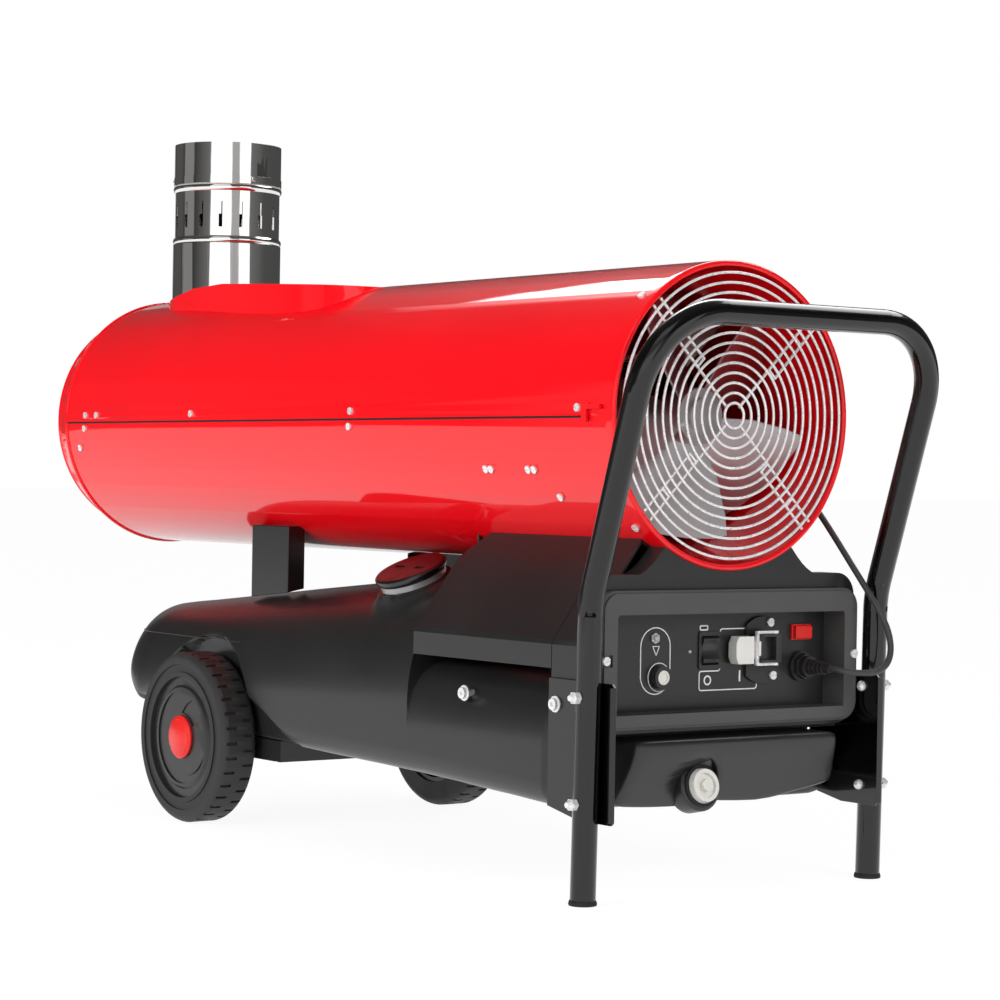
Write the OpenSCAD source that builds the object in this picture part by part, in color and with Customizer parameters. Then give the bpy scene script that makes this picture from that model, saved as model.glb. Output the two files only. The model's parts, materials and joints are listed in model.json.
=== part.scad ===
// Indirect diesel heater on two wheels: a red barrel with fan, burner and flue
// stands on a moulded fuel tank, with a tube frame that is both handle and legs.
// The fan end faces +X, the near side in the photograph is -Y, the floor is z = 0.

/* [Barrel] */
// Outside diameter of the barrel shell
barrel_d = 344; // [300:1:400]
// Length of the barrel without its outlet ring
barrel_len = 1240; // [1000:5:1400]
// Height of the barrel's axis over the floor
axis_z = 525; // [500:1:560]
// Length of the tapered outlet ring
outlet_len = 52; // [30:1:80]
// Diameter of the open outlet
outlet_d = 314; // [280:1:330]

/* [Flue] */
// Outside diameter of the flue pipe
flue_d = 150; // [120:1:160]
// Distance of the flue from the fan end
flue_back = 1092; // [1000:1:1120]
// Height of the flue's open top over the floor
flue_top = 913; // [870:1:960]
// Number of windows round the draught section
flue_windows = 16; // [12:1:20]

/* [Wheels] */
// Diameter of a wheel
wheel_d = 220; // [200:1:230]
// Width of a wheel
wheel_w = 50; // [40:1:56]
// Distance of the axle from the fan end
axle_back = 815; // [780:1:840]
// Radius of the axle
axle_r = 10; // [8:1:12]

/* [Handle frame] */
// Outside diameter of the frame tube
tube_d = 28; // [22:1:32]
// Height of the handle bar over the floor
bar_z = 630; // [600:1:660]
// Half the distance between the two legs
leg_y = 208; // [205:1:215]
// How far the handle bar stands out in front of the fan end
bar_out = 113; // [90:1:140]

/* [Controls] */
// Travel of the reset button
button_travel = 3; // [2:0.5:4]
// Number of fan blades
fan_blades = 5; // [4:1:6]

/* [Hidden] */
$fn = 64;
R = barrel_d / 2;
bar_r = tube_d / 2;
fan_x = (barrel_len + outlet_len - bar_out - bar_r) / 2;
wr = wheel_d / 2;
wy1 = 224;
wy0 = wy1 - wheel_w;
bay_y = wy0 - 6;
carrier_y = bay_y - 3;
seam = -4;
shell_t = 2;
strip_t = 1.6;
cord_r = 3.6;
fl_r = flue_d / 2;
bead_zs = [flue_top - 135, flue_top - 62];
tube_wall = 2;
foot_x = 8;
foot_h = 6;
bolt_zs = [108, 221];
knee_x = 14;
knee_r = 130;
knee_z = 325;
lean = atan((bar_out - knee_x) / (bar_z - knee_z));
lean_len = (bar_z - knee_z) / cos(lean);
bend_r = 92;
tank_y = 194;
fold_y = 190;
fold_z = 272;
tail_r = 105;
shoulder_r = 60;
shoulder_y = tank_y - shoulder_r;
shoulder_a = 50;
plate_y = 191;
cap_tilt = 24;
cap_at = [-443, -120, 330];
collar_h = 4;
seal_gap = 0.15;
guard_x = 0.4;
guard_rings = 14;
guard_r0 = 14;
wire_r = 1.6;
lip_r = 3.5;
guard_step = (R - 2 * lip_r - 6.7 - guard_r0) / (guard_rings - 1);
throat_r = R - 26;
pipe_swell = 0.8;
spigot_len = 46;
drain_r = 19.5;
box_x = -31;
bezel_y = 180;
post_d = 26;
post_w = 89;
post_shift = 56;
clip_y = 167;
clip_z = 465;
barrel_clip_x = -141;
tank_clip_xs = [-400, -520];
tank_clip_z = 236;
// the cord's route from the gland to the floor, then the coil's outer turn, spacing and turns a layer
cord_route = [[24, 129, 243], [33, 129, 243], [46, 134, 241], [57, 146, 240], [62, 163, 241], [62, 180, 249],
  [58, 190, 265], [51, 192, 286], [40, 188, 309], [23, 183, 334], [3, 179, 360], [-18, 176, 386],
  [-40, 173, 412], [-64, 171, 436], [-92, 168, 456], [-114, 167, 465], [-133, 167, 465], [-149, 167, 465],
  [-168, 167, 465], [-194, 170, 456], [-216, 176, 432], [-234, 184, 400], [-248, 192, 362], [-264, 198, 322],
  [-286, 200, 285], [-318, 200, 255], [-360, 199.5, 236], [-390, 199.5, 236], [-455, 199.5, 236], [-530, 199.5, 236],
  [-562, 199.5, 236], [-600, 207, 222], [-645, 225, 194], [-690, 248, 156], [-738, 274, 112], [-786, 300, 70],
  [-832, 324, 34], [-880, 344, 12], [-928, 370, 3.7], [-960, 394, 3.7]];
coil_r = 50;
coil_step = 7.8;
coil_turns = 2.5;
red = [0.86, 0.03, 0.06];
black = [0.09, 0.09, 0.09];
dark = [0.16, 0.16, 0.16];
grey = [0.24, 0.24, 0.24];
steel = [0.75, 0.75, 0.77];

module P() { translate([fan_x, 0, 0]) children(); }
module A() { translate([fan_x, 0, axis_z]) children(); }
module xc(r, x0, x1) { translate([x0, 0, 0]) rotate([0, 90, 0]) cylinder(r = r, h = x1 - x0); }
module yc(r, y0, y1) { translate([0, y1, 0]) rotate([90, 0, 0]) cylinder(r = r, h = y1 - y0); }
module both() { children(); mirror([0, 1, 0]) children(); }
// a flat shape drawn in Y and Z, made solid from x0 to x1
module yz(x0, x1) { translate([x0, 0, 0]) rotate([90, 0, 90]) linear_extrude(x1 - x0) children(); }
// a flat shape drawn in X and Z, made solid from y0 to y1
module xz(y0, y1) { translate([0, y1, 0]) rotate([90, 0, 0]) linear_extrude(y1 - y0) children(); }
module rrect(w, h, r) {
  square([w - 2 * r, h], center = true);
  square([w, h - 2 * r], center = true);
  for (i = [-1, 1], j = [-1, 1]) translate([i * (w / 2 - r), j * (h / 2 - r)]) circle(r);
}

// fuel tank: three prisms cut each other, and i is how far the inside skin lies in
module tank_side(i) {
  translate([-1033, 233]) circle(50 - i);
  polygon([[-1078 + i, 212 + i], [-1020, 160 + i], [-960, 128 + i], [-880, 118 + i], [-590, 113 + i],
    [-330, 106 + i], [-40, 92 + i], [-6, 96 + i], [22 - i, 160 + i], [22 - i, 172 - i],
    [-78 - i, 172 - i], [-78 - i, 238 - i], [-345 - i, 238 - i], [-345 - i, 336 - i],
    [-420, 335 - i], [-560, 327 - i], [-738, 311 - i], [-835, 301 - i], [-1014, 284 - i],
    [-1046, 281.5 - i], [-1033, 233]]);
}
module tank_form(i) {
  intersection() {
    xz(-tank_y + i, tank_y - i) tank_side(i);
    translate([0, 0, 60]) linear_extrude(300) {
      translate([tail_r - 1083, -tank_y + i]) square([1105 - tail_r - i, 2 * tank_y - 2 * i]);
      translate([-1083 + i, tail_r - tank_y]) square([200, 2 * (tank_y - tail_r)]);
      for (s = [-1, 1]) translate([tail_r - 1083, s * (tank_y - tail_r)]) circle(tail_r - i, $fn = 96);
    }
    tank_crown(i);
    translate([-377, 0, 250]) rotate([0, -1.6, 0]) yz(-800, 460) {
      for (s = [-1, 1]) translate([s * shoulder_y, 0]) circle(shoulder_r - i, $fn = 72);
      ty = shoulder_y + (shoulder_r - i) * cos(shoulder_a);
      tz = (shoulder_r - i) * sin(shoulder_a);
      polygon([[-tank_y + i, -200], [-tank_y + i, 0], [-ty, tz], [0, tz + ty * tan(90 - shoulder_a)],
        [ty, tz], [tank_y - i, 0], [tank_y - i, -200]]);
    }
  }
}
// the crowned and sloping roof of the tank, which the posts stand on
module tank_crown(i) {
  translate([-789, 0, 306]) rotate([0, -5.7, 0]) yz(-400, 900) intersection() {
    translate([0, -542]) circle(542 - i, $fn = 180);
    translate([-200, -300]) square([400, 310]);
  }
}
// what the wavy lower edge of the tank's front leaves out, raised by up
module front_edge(up) {
  yz(-45 - up, 30) translate([0, up]) polygon([[-210, 40], [-210, 106], [-171, 105], [-150, 99], [-100, 93],
    [-71, 90], [-42, 92], [-11, 98.3], [20, 95], [46, 93], [69, 96.5], [95, 102], [116, 105.4], [146, 111],
    [194, 118], [210, 118], [210, 40]]);
}
module wheel_bay(g) {
  translate([-axle_back, 0, wr]) yc(128 + g, -wy1, g - bay_y);
  xz(-wy1, g - bay_y) polygon([[-axle_back, 90], [-590 + g, 100], [-590 + g, 113], [-712 + g, 172],
    [-axle_back, 172]]);
  xz(-wy1, g - bay_y) polygon([[-axle_back, 90], [-1010 - g, 90], [-985 - g, 150], [-axle_back, 180]]);
}
module fuel_tank() {
  color(dark) P() difference() {
    union() {
      difference() {
        tank_form(0);
        front_edge(0);
        at_cap() translate([0, 0, -4]) cylinder(r = 42, h = 60);
        drain_at() translate([0, 0, 4]) cylinder(r = drain_r + 5, h = 40);
      }
      at_cap() translate([0, 0, -42]) cylinder(r1 = 66, r2 = 46, h = 38);
      drain_at() translate([0, 0, -20]) cylinder(r = drain_r + 8, h = 24);
    }
    difference() {
      tank_form(4);
      front_edge(4);
      both() wheel_bay(4);
      both() translate([35, -215, 0]) cylinder(r = 74, h = 400, $fn = 96);
      at_cap() translate([0, 0, -8]) cylinder(r = 54, h = 60);
      drain_at() cylinder(r = drain_r + 12, h = 60, center = true);
      translate([-250, 40, 200]) cylinder(r = 14, h = 60);
      translate([-axle_back, 0, wr]) yc(axle_r + 9, -200, 200);
    }
    translate([-axle_back, 0, wr]) yc(axle_r + 5, -200, 200);
    both() wheel_bay(0);
    both() translate([35, -215, 0]) cylinder(r = 70, h = 400, $fn = 96);
    both() translate([-80, -tank_y - 1, 60]) cube([120, 4, 190]);
    at_cap() cylinder(r = 32, h = 120, center = true);
    drain_at() cylinder(r = 12, h = 90, center = true);
    translate([-250, 40, 190]) cylinder(r = 4, h = 60);
    both() translate([-230, 0, 208]) yc(4, -200, -150);
  }
}
module drain_at() { translate([9, -50, 118]) rotate([0, 78, 0]) children(); }
module at_cap() { translate(cap_at) rotate([cap_tilt, 0, 0]) children(); }
module filler_neck() {
  color(grey) P() at_cap() difference() {
    union() {
      translate([0, 0, -60]) cylinder(r = 32, h = 56);
      translate([0, 0, -4]) cylinder(r = 41.7, h = 7);
      cylinder(r = 34, h = collar_h);
    }
    translate([0, 0, -56]) cylinder(r = 27, h = 80);
    for (a = [0 : 30 : 330], q = [10, 20]) rotate(a) translate([q, 0, -62]) cylinder(r = 2.5, h = 10, $fn = 16);
  }
}
module cap_gasket() {
  color(black) P() at_cap() translate([0, 0, collar_h + seal_gap]) difference() {
    cylinder(r = 36.5, h = 9 - collar_h - 2 * seal_gap);
    translate([0, 0, -1]) cylinder(r = 28, h = 8);
  }
}
module filler_cap() {
  color(black) P() at_cap() difference() {
    union() {
      translate([0, 0, collar_h + 0.2]) cylinder(r1 = 43, r2 = 45, h = 3);
      translate([0, 0, 7.2]) cylinder(r = 45, h = 4.3);
      translate([0, 0, 11.5]) cylinder(r1 = 45, r2 = 42.5, h = 2.5);
    }
    translate([0, 0, -1]) cylinder(r = 38, h = 10);
    for (s = [-1, 1]) translate([s * 20, 0, 13]) cube([16, 5, 3], center = true);
  }
}
module drain_seal() {
  color(black) P() drain_at() translate([0, 0, 4]) difference() {
    cylinder(r = drain_r + 3.5, h = 3);
    translate([0, 0, -1]) cylinder(r = 12, h = 6);
  }
}
module drain_plug() {
  color([0.85, 0.85, 0.85]) P() drain_at() {
    translate([0, 0, -26]) cylinder(r = 11.9, h = 34);
    translate([0, 0, 7]) difference() {
      cylinder(r1 = drain_r, r2 = drain_r - 1.5, h = 7);
      translate([0, 0, 3]) cylinder(r = drain_r - 6, h = 8);
    }
    translate([0, 0, 9]) cylinder(r = 7, h = 7, $fn = 6);
  }
}
module tank_screws() {
  color(steel) P() both() for (x = [-230, -62]) translate([x, 0, 208]) {
    yc(3.9, -tank_y - 1, -156);
    yc(9, -tank_y - 2, -tank_y);
    difference() {
      yc(6.5, -tank_y - 6, -tank_y - 2);
      yc(2.5, -tank_y - 7, -tank_y - 4, $fn = 6);
    }
  }
}

// wheels and axle
module axle() {
  color(steel) P() translate([-axle_back, 0, wr]) {
    yc(axle_r, -wy1 + 4, wy1 - 4);
    both() yc(axle_r + 4, -wy1 + 6.2, -wy1 + 8.2);
    both() yc(axle_r + 3, -wy0 + 0.3, -carrier_y);
  }
}
function tank_floor(x) = 118 - (x + 880) * 5 / 290;
module axle_carrier() {
  color(black) P() difference() {
    xz(-carrier_y, carrier_y) polygon([[-880, 88], [-665, 88], [-665, tank_floor(-665)], [-880, tank_floor(-880)]]);
    translate([-876, 4 - carrier_y, 84]) cube([207, 2 * carrier_y - 8, 26.5]);
    translate([-axle_back, 0, wr]) yc(axle_r, -bay_y, bay_y);
    for (x = [-870, -678]) translate([x, -200, 80]) cube([4, 400, 12]);
  }
  color(black) P() both() for (x = [-870, -845, -790, -735, -690]) translate([x, 4 - carrier_y, 92]) cube([3, 40, 19]);
}
module tyre_2d() {
  difference() {
    union() {
      translate([78, 0]) square([wr - 88, wheel_w]);
      translate([78, 8]) square([wr - 78, wheel_w - 18]);
      translate([wr - 10, 10]) circle(10, $fn = 48);
      translate([wr - 10, wheel_w - 10]) circle(10, $fn = 48);
    }
    translate([84, -6]) square([10, 8]);
  }
}
module tyre() {
  color(black) P() translate([-axle_back, -wy1, wr]) rotate([-90, 0, 0]) difference() {
    rotate_extrude($fn = 96) tyre_2d();
    for (a = [0 : 10 : 350]) rotate(a) {
      translate([wr - 3, -2, 5]) cube([8, 4, 15]);
      rotate(5) translate([wr - 3, -2, wheel_w - 20]) cube([8, 4, 15]);
    }
  }
}
module tyre_left() { tyre(); }
module tyre_right() { mirror([0, 1, 0]) tyre(); }
module rim() {
  color(dark) P() translate([-axle_back, -wy1, wr]) rotate([-90, 0, 0]) difference() {
    union() {
      translate([0, 0, 5]) cylinder(r = 78, h = 6, $fn = 96);
      translate([0, 0, 2]) cylinder(r1 = 64, r2 = 68, h = 4, $fn = 96);
      difference() {
        translate([0, 0, 5]) cylinder(r = 78, h = wheel_w - 8, $fn = 96);
        translate([0, 0, 4]) cylinder(r = 72, h = wheel_w, $fn = 96);
      }
      translate([0, 0, 5]) cylinder(r = 22, h = wheel_w - 5);
      for (a = [0 : 45 : 315]) rotate(a) translate([20, -2, 8]) cube([54, 4, wheel_w - 18]);
    }
    translate([0, 0, -1]) cylinder(r = axle_r + 0.05, h = 80);
    translate([0, 0, -1]) cylinder(r = 24, h = 9.5);
    translate([0, 0, -1]) linear_extrude(5) difference() {
      circle(60, $fn = 96);
      translate([7, -7]) circle(56, $fn = 96);
    }
    translate([0, 0, -1]) linear_extrude(4.5) intersection() {
      translate([14, -46]) circle(34, $fn = 72);
      translate([34, -10]) circle(40, $fn = 72);
      difference() { circle(56, $fn = 96); circle(31); }
    }
  }
}
module rim_left() { rim(); }
module rim_right() { mirror([0, 1, 0]) rim(); }
module hubcap() {
  color([0.9, 0.12, 0.12]) P() translate([-axle_back, -wy1, wr]) rotate([-90, 0, 0]) difference() {
    union() {
      translate([0, 0, -1]) cylinder(r = 28, h = 3);
      translate([0, 0, 2]) cylinder(r = 24, h = 4);
      translate([0, 0, -4]) cylinder(r1 = 23, r2 = 28, h = 3);
    }
    translate([0, 0, 0.5]) cylinder(r = 20, h = 7);
  }
}
module hubcap_left() { hubcap(); }
module hubcap_right() { mirror([0, 1, 0]) hubcap(); }

// handle frame: legs, knees, leaning part and bar as one bent tube
// a bend draws the tube slimmer by thin, and the straight runs lap over its ends
module tube_2d(thin) {
  difference() {
    circle(bar_r - thin, $fn = 48);
    circle(bar_r - tube_wall + thin, $fn = 48);
  }
}
module tube_run(z0, z1) { translate([0, 0, z0]) linear_extrude(z1 - z0) tube_2d(0); }
// a bend that starts upright at the origin and turns toward +X
module tube_bend(r, a) {
  translate([r, 0, 0]) rotate([90, 0, 0]) rotate([0, 0, 180 - a]) rotate_extrude(angle = a, $fn = 96)
    translate([r, 0]) tube_2d(0.05);
}
module handle_frame() {
  leg_tilt = atan((knee_x - foot_x) / knee_z);
  turn = lean - leg_tilt;
  knee = knee_r * tan(turn / 2);
  leg = knee_z / cos(leg_tilt) - knee;
  half_bar = leg_y - bend_r;
  color(black) P() difference() {
    union() {
      both() {
        translate([foot_x, -leg_y, 0]) rotate([0, leg_tilt, 0]) {
          tube_run(foot_h, leg + 1);
          translate([0, 0, leg]) tube_bend(knee_r, turn);
        }
        translate([knee_x, -leg_y, knee_z]) rotate([0, lean, 0]) {
          tube_run(knee - 1, lean_len - bend_r + 1);
          translate([0, 0, lean_len - bend_r]) rotate([0, 0, 90]) tube_bend(bend_r, 90);
        }
      }
      translate([bar_out, 0, bar_z]) rotate([-90, 0, 0]) tube_run(-half_bar - 1, half_bar + 1);
    }
    both() for (z = bolt_zs) translate([bolt_x(z), 0, z]) yc(4, -240, -180);
  }
}
function bolt_x(z) = foot_x + (knee_x - foot_x) * z / knee_z;
module foot_caps() {
  color(black) P() both() translate([foot_x, -leg_y, 0]) {
    cylinder(r1 = bar_r + 1, r2 = bar_r + 1.5, h = 2);
    translate([0, 0, 2]) cylinder(r1 = bar_r + 1.5, r2 = bar_r + 0.5, h = foot_h - 2.3);
  }
}
module leg_plate() {
  color(black) P() difference() {
    union() {
      xz(-plate_y - 3, -plate_y) polygon([[-75, 97], [-20, 86], [35, 86], [38, 89], [38, 232], [34, 236],
        [-75, 236]]);
      translate([35, -plate_y - 8, 89]) cube([3, 8, 143]);
    }
    for (z = bolt_zs) translate([bolt_x(z), 0, z]) yc(4, -240, -180);
    translate([-62, 0, 208]) yc(4, -240, -150);
  }
}
module leg_plate_left() { leg_plate(); }
module leg_plate_right() { mirror([0, 1, 0]) leg_plate(); }
module frame_bolts() {
  color(steel) P() both() for (z = bolt_zs) translate([bolt_x(z), 0, z]) {
    yc(3.95, -leg_y - bar_r - 8, -188);
    yc(6.8, -leg_y - bar_r - 7, -leg_y - bar_r, $fn = 6);
    translate([0, -leg_y - bar_r - 7, 0]) rotate([90, 0, 0]) cylinder(r1 = 5.6, r2 = 3, h = 5);
    difference() {
      translate([0, -plate_y + 0.5, 0]) sphere(6, $fn = 48);
      yc(20, -220, -plate_y);
    }
  }
}

// posts between tank and barrel
module post(shift) {
  color(black) P() difference() {
    translate([shift - 819, -118, 284]) cube([post_w, post_d, 101]);
    translate([shift - 816, -115, 300]) cube([post_w - 6, post_d, 120]);
    translate([0, 0, axis_z]) xc(R, -barrel_len, 0, $fn = 160);
    tank_crown(0);
  }
}
module post_left() { post(0); }
module post_right() { mirror([0, 1, 0]) post(post_shift); }

// console, panel and what is on it
module console_outline() {
  difference() {
    union() {
      translate([0, 264]) rrect(381, 172, 26);
      polygon([[-140, 340], [-127, 350], [-118, 355], [-110, 361], [-102, 369], [-95, 377], [-89, 383],
        [89, 383], [95, 377], [102, 369], [110, 361], [118, 355], [127, 350], [140, 340]]);
    }
    translate([0, axis_z]) circle(R, $fn = 160);
  }
}
// the section that the covers and the console share, from the height z0 up, set in by i
module cover_2d(i, z0) {
  difference() {
    polygon([[-fold_y + i, z0], [-fold_y + i, fold_z], [-fold_y + 2 + 0.8 * i, fold_z + 5.6],
      [-104 + 0.2 * i, 388 - 1.5 * i], [104 - 0.2 * i, 388 - 1.5 * i], [fold_y - 2 - 0.8 * i, fold_z + 5.6],
      [fold_y - i, fold_z], [fold_y - i, z0]]);
    translate([0, axis_z]) circle(R + i, $fn = 160);
  }
}
// the outline of the recess that holds the panel, with its two upper corners cut
module recess_2d(i, c) {
  polygon([[-166 - i, 199 - i], [166 + i, 199 - i], [166 + i, 307 + i - c], [166 + i - 0.8 * c, 307 + i],
    [-166 - i + 0.8 * c, 307 + i], [-166 - i, 307 + i - c]]);
}
module console_housing() {
  color(black) P() {
    difference() {
      yz(box_x, -4) console_outline();
      yz(box_x - 1, -3) recess_2d(5.1, 4);
    }
    difference() {
      yz(-76, box_x + 1) cover_2d(0, 172);
      yz(-73, box_x + 2) cover_2d(3, 175);
      translate([-60, 30, 160]) cylinder(r = 6, h = 30);
      both() translate([-62, 0, 208]) yc(4, -220, -170);
    }
  }
}
module side_cover() {
  color(black) P() difference() {
    yz(-340, -77) intersection() {
      cover_2d(0, 246);
      translate([-200, 200]) square([120, 250]);
    }
    yz(-337, -76) cover_2d(3.5, 200);
    xz(-200, -100) polygon([[-345, 354], [-305, 390], [-345, 390]]);
    translate([-337, -101, 240]) cube([400, 40, 150]);
  }
}
module side_cover_left() { side_cover(); }
module side_cover_right() { mirror([0, 1, 0]) side_cover(); }
module panel_bezel() {
  color(grey) P() difference() {
    union() {
      yz(-4, 5) translate([0, 258]) rrect(376, 150, 22);
      yz(5, 8) translate([0, 258]) rrect(368, 144, 19);
      yz(-27, -4) recess_2d(5, 4);
    }
    yz(-28, 9) recess_2d(0, 3);
    for (s = [-1, 1]) translate([0, s * bezel_y, 258]) xc(2.5, -5, 9);
    translate([5, -bezel_y - 6, 251.5]) cube([4, 13.5, 13]);
  }
}
module control_panel() {
  color(dark) P() difference() {
    union() {
      yz(-30, -27) recess_2d(5, 4);
      translate([0, -79, 236]) xc(12.5, -27, -18);
    }
    translate([-31, -21, 246]) cube([5, 28, 36]);
    translate([0, -79, 236]) xc(8.1, -31, -17);
    translate([0, -86, 279]) xc(4, -31, -26);
    translate([0, -36, 263]) xc(2, -31, -26);
    translate([0, 129, 243]) xc(9, -31, -26);
    translate([-31, 50, 250]) cube([5, 29, 32]);
    translate([-31, 117, 276]) cube([5, 23, 12]);
    translate([0, 79, 294]) xc(2, -31, -26);
    translate([0, 84, 234]) xc(2, -31, -26);
  }
}
module switch_frame() {
  color(black) P() translate([-27, -7, 264]) difference() {
    union() {
      yz(0, 2) rrect(32, 42, 3);
      translate([-18, -14, -18]) cube([18, 28, 36]);
    }
    translate([-15, -12.2, -16.2]) cube([20, 24.4, 32.4]);
    translate([-4, 0, 0]) yc(2.05, -15, 15);
  }
}
module rocker_switch() {
  color([0.05, 0.05, 0.05]) P() translate([-31, -7, 264]) {
    difference() {
      intersection() {
        yc(16, -12, 12);
        translate([-4, -12, -16]) cube([13, 24, 32]);
      }
      translate([22, 0, 0]) yc(16, -13, 13);
      for (s = [-1, 1]) translate([9.5, 0, s * 11]) cube([3, 10, 1.2], center = true);
    }
    yc(2, -13.6, 13.6);
  }
}
module reset_button() {
  color([0.8, 0.8, 0.8]) P() translate([0, -79, 236]) difference() {
    union() {
      xc(8, -33, -18);
      xc(9.5, -33.3, -30.3);
    }
    translate([0, 0, 0]) xc(5, -19, -17);
  }
}
module status_leds() {
  color([0.85, 0.85, 0.85]) P() {
    translate([0, -86, 279]) xc(3.9, -34, -25);
    translate([0, -86, 279]) xc(6, -27, -24.5, $fn = 6);
    translate([-24.5, -86, 279]) intersection() {
      sphere(3.9, $fn = 32);
      translate([-1, -5, -5]) cube(10);
    }
    translate([0, -36, 263]) xc(1.95, -33, -26);
    translate([-26, -36, 263]) intersection() {
      sphere(1.95, $fn = 24);
      translate([-0.5, -5, -5]) cube(10);
    }
  }
}
module thermostat_socket() {
  color(black) P() {
    difference() {
      yz(-27, -23) intersection() {
        translate([70, 263]) scale(1) circle(38);
        translate([45, 223]) square([49, 80]);
      }
      translate([0, 79, 294]) xc(2, -31, -20);
      translate([0, 84, 234]) xc(2, -31, -20);
      translate([-31, 52, 252]) cube([9, 24, 28]);
    }
    difference() {
      translate([-38, 50, 250]) cube([36, 29, 32]);
      translate([-12, 49, 253]) cube([14, 22, 26]);
      translate([-8, 74.5, 0]) cylinder(r = 2.05, h = 400);
      translate([-28, 48, 249]) cube([1, 2, 34]);
      for (z = [249, 282]) translate([-39, 49, z]) cube([12, 32, 1]);
    }
  }
}
module socket_plug() {
  color([0.9, 0.9, 0.88]) P() {
    intersection() {
      translate([0, 44, 264]) xc(27, -23, -9);
      translate([-23, 18, 248.5]) cube([14, 26.5, 31]);
    }
    translate([-27, 24, 254]) cube([4, 18, 20]);
    translate([-14, 44.5, 254]) cube([3.5, 5.2, 20]);
  }
}
module lock_lever() {
  color(steel) P() difference() {
    union() {
      translate([-10, 46, 246.6]) cube([4, 3, 38.8]);
      for (z = [282.4, 246.6]) translate([-10, 46, z]) cube([4, 32, 3]);
      translate([-8, 74.5, 246.6]) cylinder(r = 4, h = 3);
      translate([-8, 74.5, 282.4]) cylinder(r = 4, h = 3);
      translate([-6, 46, 258]) cube([3, 3, 16]);
    }
  }
  color(steel) P() translate([-8, 74.5, 248]) cylinder(r = 2, h = 36);
}
module red_lamp() {
  color([0.8, 0.02, 0.02]) P() {
    translate([-34, 117.1, 276.1]) cube([7, 22.8, 11.8]);
    translate([-27, 114, 273]) cube([3, 29, 18]);
    translate([-24, 116, 275]) cube([5, 25, 14]);
  }
}
module cable_gland() {
  color(black) P() translate([0, 129, 243]) difference() {
    union() {
      xc(8.9, -36, -27);
      xc(17, -27, -22);
      xc(15, -22, -16, $fn = 6);
      xc(12, -16, -8);
      translate([-8, 0, 0]) rotate([0, 90, 0]) cylinder(r1 = 9, r2 = 5, h = 32);
      for (x = [-4, 2, 8, 14]) xc(9.2 - (x + 8) / 10, x, x + 2);
    }
    xc(cord_r, -40, 30);
  }
}
module panel_screws() {
  color(steel) P() {
    for (s = [-1, 1]) translate([s < 0 ? -3 : 0, s * bezel_y, 258]) {
      xc(2.45, s < 0 ? -1 : -4, 8.5);
      difference() {
        xc(5, 8, 11);
        translate([10, -5, -0.6]) cube([2, 10, 1.2]);
      }
    }
    for (q = [[79, 294], [84, 234]]) translate([0, q[0], q[1]]) {
      xc(1.95, -32, -23);
      difference() {
        xc(5, -23, -20);
        translate([-21, -5, -0.6]) cube([2, 10, 1.2]);
      }
    }
  }
}

// barrel
module shell_ring(r1, r0, x0, x1) {
  difference() {
    xc(r1, x0, x1, $fn = 160);
    xc(r0, x0 - 1, x1 + 1, $fn = 160);
  }
}
module upper_shell() {
  color(red) A() difference() {
    union() {
      intersection() {
        shell_ring(R, R - shell_t, -barrel_len, -12);
        translate([-2000, -300, seam]) cube([2100, 600, 400]);
      }
      intersection() {
        shell_ring(R + strip_t, R - 0.5, -barrel_len + 2, -40);
        translate([-2000, -300, seam]) cube([2100, 600, 14]);
      }
    }
    translate([-flue_back, 0, 0]) cylinder(r = fl_r + pipe_swell + 0.5, h = 300, $fn = 96);
    both() for (q = shell_screw_at) if (q[1] > -2.5)
      rotate([-q[1], 0, 0]) translate([q[0], 0, 0]) yc(2, -200, -150);
  }
  color(red) A() both() translate([-34, 0, 0]) {
    translate([-14, -R - 5, 3]) cube([30, 3.6, 5]);
    translate([-14, -R - 5, -10]) cube([8, 3, 13]);
  }
}
module lower_shell() {
  color(red) A() difference() {
    union() {
      intersection() {
        shell_ring(R, R - shell_t, -barrel_len, -12);
        translate([-2000, -300, -400]) cube([2100, 600, 400 + seam]);
      }
      intersection() {
        shell_ring(R - shell_t, R - shell_t - 1.5, -barrel_len + 26, -114);
        translate([-2000, -300, seam - 20]) cube([2100, 600, 36]);
      }
    }
    translate([-250, 40, -300]) cylinder(r = 7, h = 300);
    at_screws() yc(2, -200, -150);
  }
}
// distance behind the fan end and angle above the seam of each screw
shell_screw_at = [[62 - barrel_len, 1.6], [94 - barrel_len, 1.6], [-886, 1.6], [-504, 1.6], [-58, 1.6], [-22, 47.7],
  [56 - barrel_len, -4.5], [37 - barrel_len, -13.6], [-510, -4.6], [-122, -32.6], [-22, -46.3]];
near_screw_at = [[-242, -21.4], [-232, -21.4], [-162, -21.4], [-151, -21.4]];
module at_screws() {
  both() for (q = shell_screw_at) rotate([-q[1], 0, 0]) translate([q[0], 0, 0]) {
    $seat = q[1] > 0 && q[1] < 3 ? R + strip_t : R;
    children();
  }
  for (q = near_screw_at) rotate([-q[1], 0, 0]) translate([q[0], 0, 0]) {
    $seat = R;
    children();
  }
}
module shell_screws() {
  color(steel) A() at_screws() {
    yc(1.95, -$seat, -R + 6);
    difference() {
      yc(4.6, -$seat - 2.8, -$seat);
      translate([-5, -$seat - 4, -0.5]) cube([10, 2, 1]);
    }
  }
}
module outlet_ring() {
  color(red) A() translate([-barrel_len, 0, 0]) rotate([0, -90, 0]) {
    rotate_extrude($fn = 160) polygon([[R - shell_t, 0], [R - shell_t, -24], [R - shell_t - 1.6, -24],
      [R - shell_t - 1.6, 2], [outlet_d / 2 - 2, outlet_len - 2], [outlet_d / 2, outlet_len - 2], [R, 1], [R, 0]]);
    rotate_extrude($fn = 160) translate([outlet_d / 2 - 1, outlet_len - 2.5]) circle(2.5, $fn = 24);
  }
}
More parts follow.
